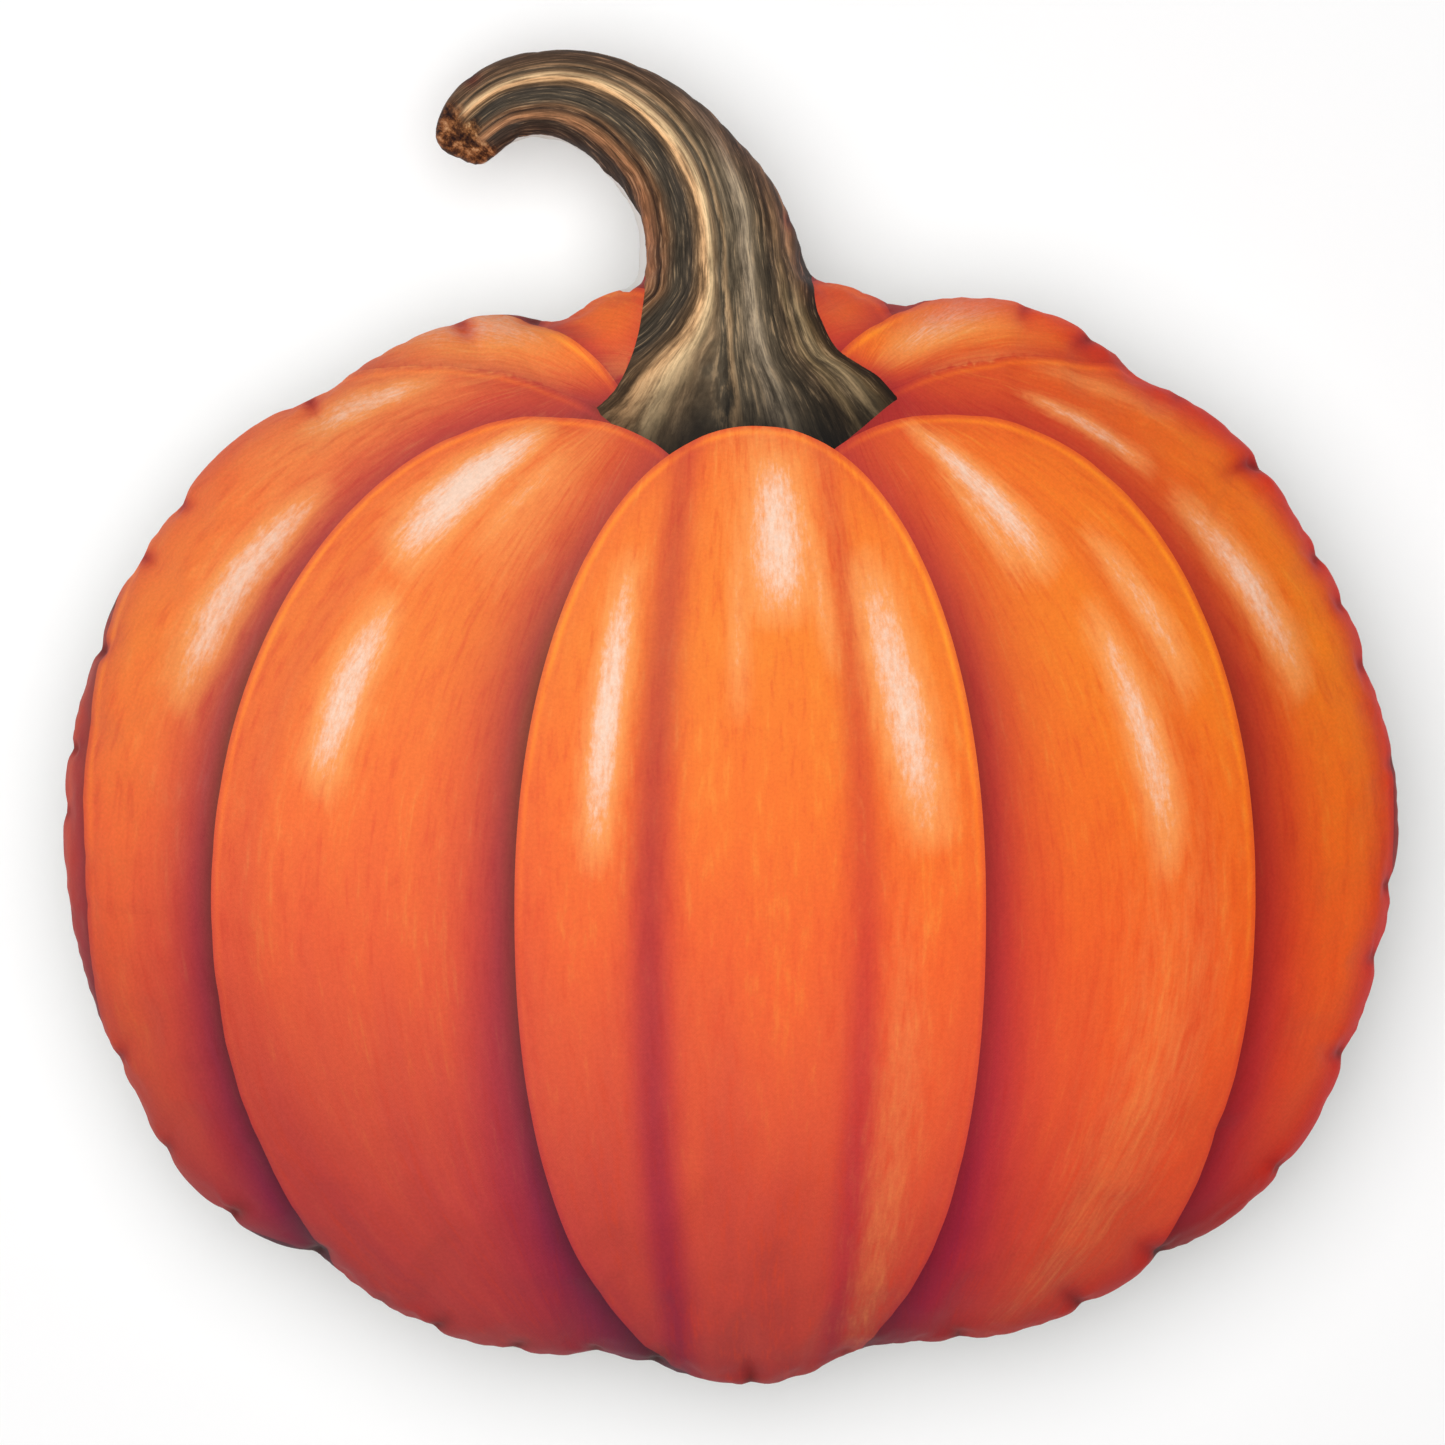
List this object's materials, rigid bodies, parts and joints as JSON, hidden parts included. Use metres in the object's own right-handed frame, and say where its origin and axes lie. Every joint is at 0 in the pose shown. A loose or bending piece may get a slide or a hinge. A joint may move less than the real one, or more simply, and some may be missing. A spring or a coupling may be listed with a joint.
{
  "type": "pumpkin cushion",
  "caption": "Filled scatter cushion in the outline of a pumpkin with a curled stem, made of two cloth panels seamed all round and lying on its back.",
  "frame": {"origin": "on the surface the cushion lies on, under the middle of its outline", "axes": "+Z out of the printed face, +Y from the cushion's foot to its stem, +X to the right as the face is looked at"},
  "size_m": [0.4554, 0.4568, 0.1129],
  "materials": {
    "printed_cloth": "soft smooth woven polyester, printed on the face and plain off-white on the back"
  },
  "bodies": {
    "root": {"pumpkin_cushion": "printed_cloth"}
  },
  "joints": []
}
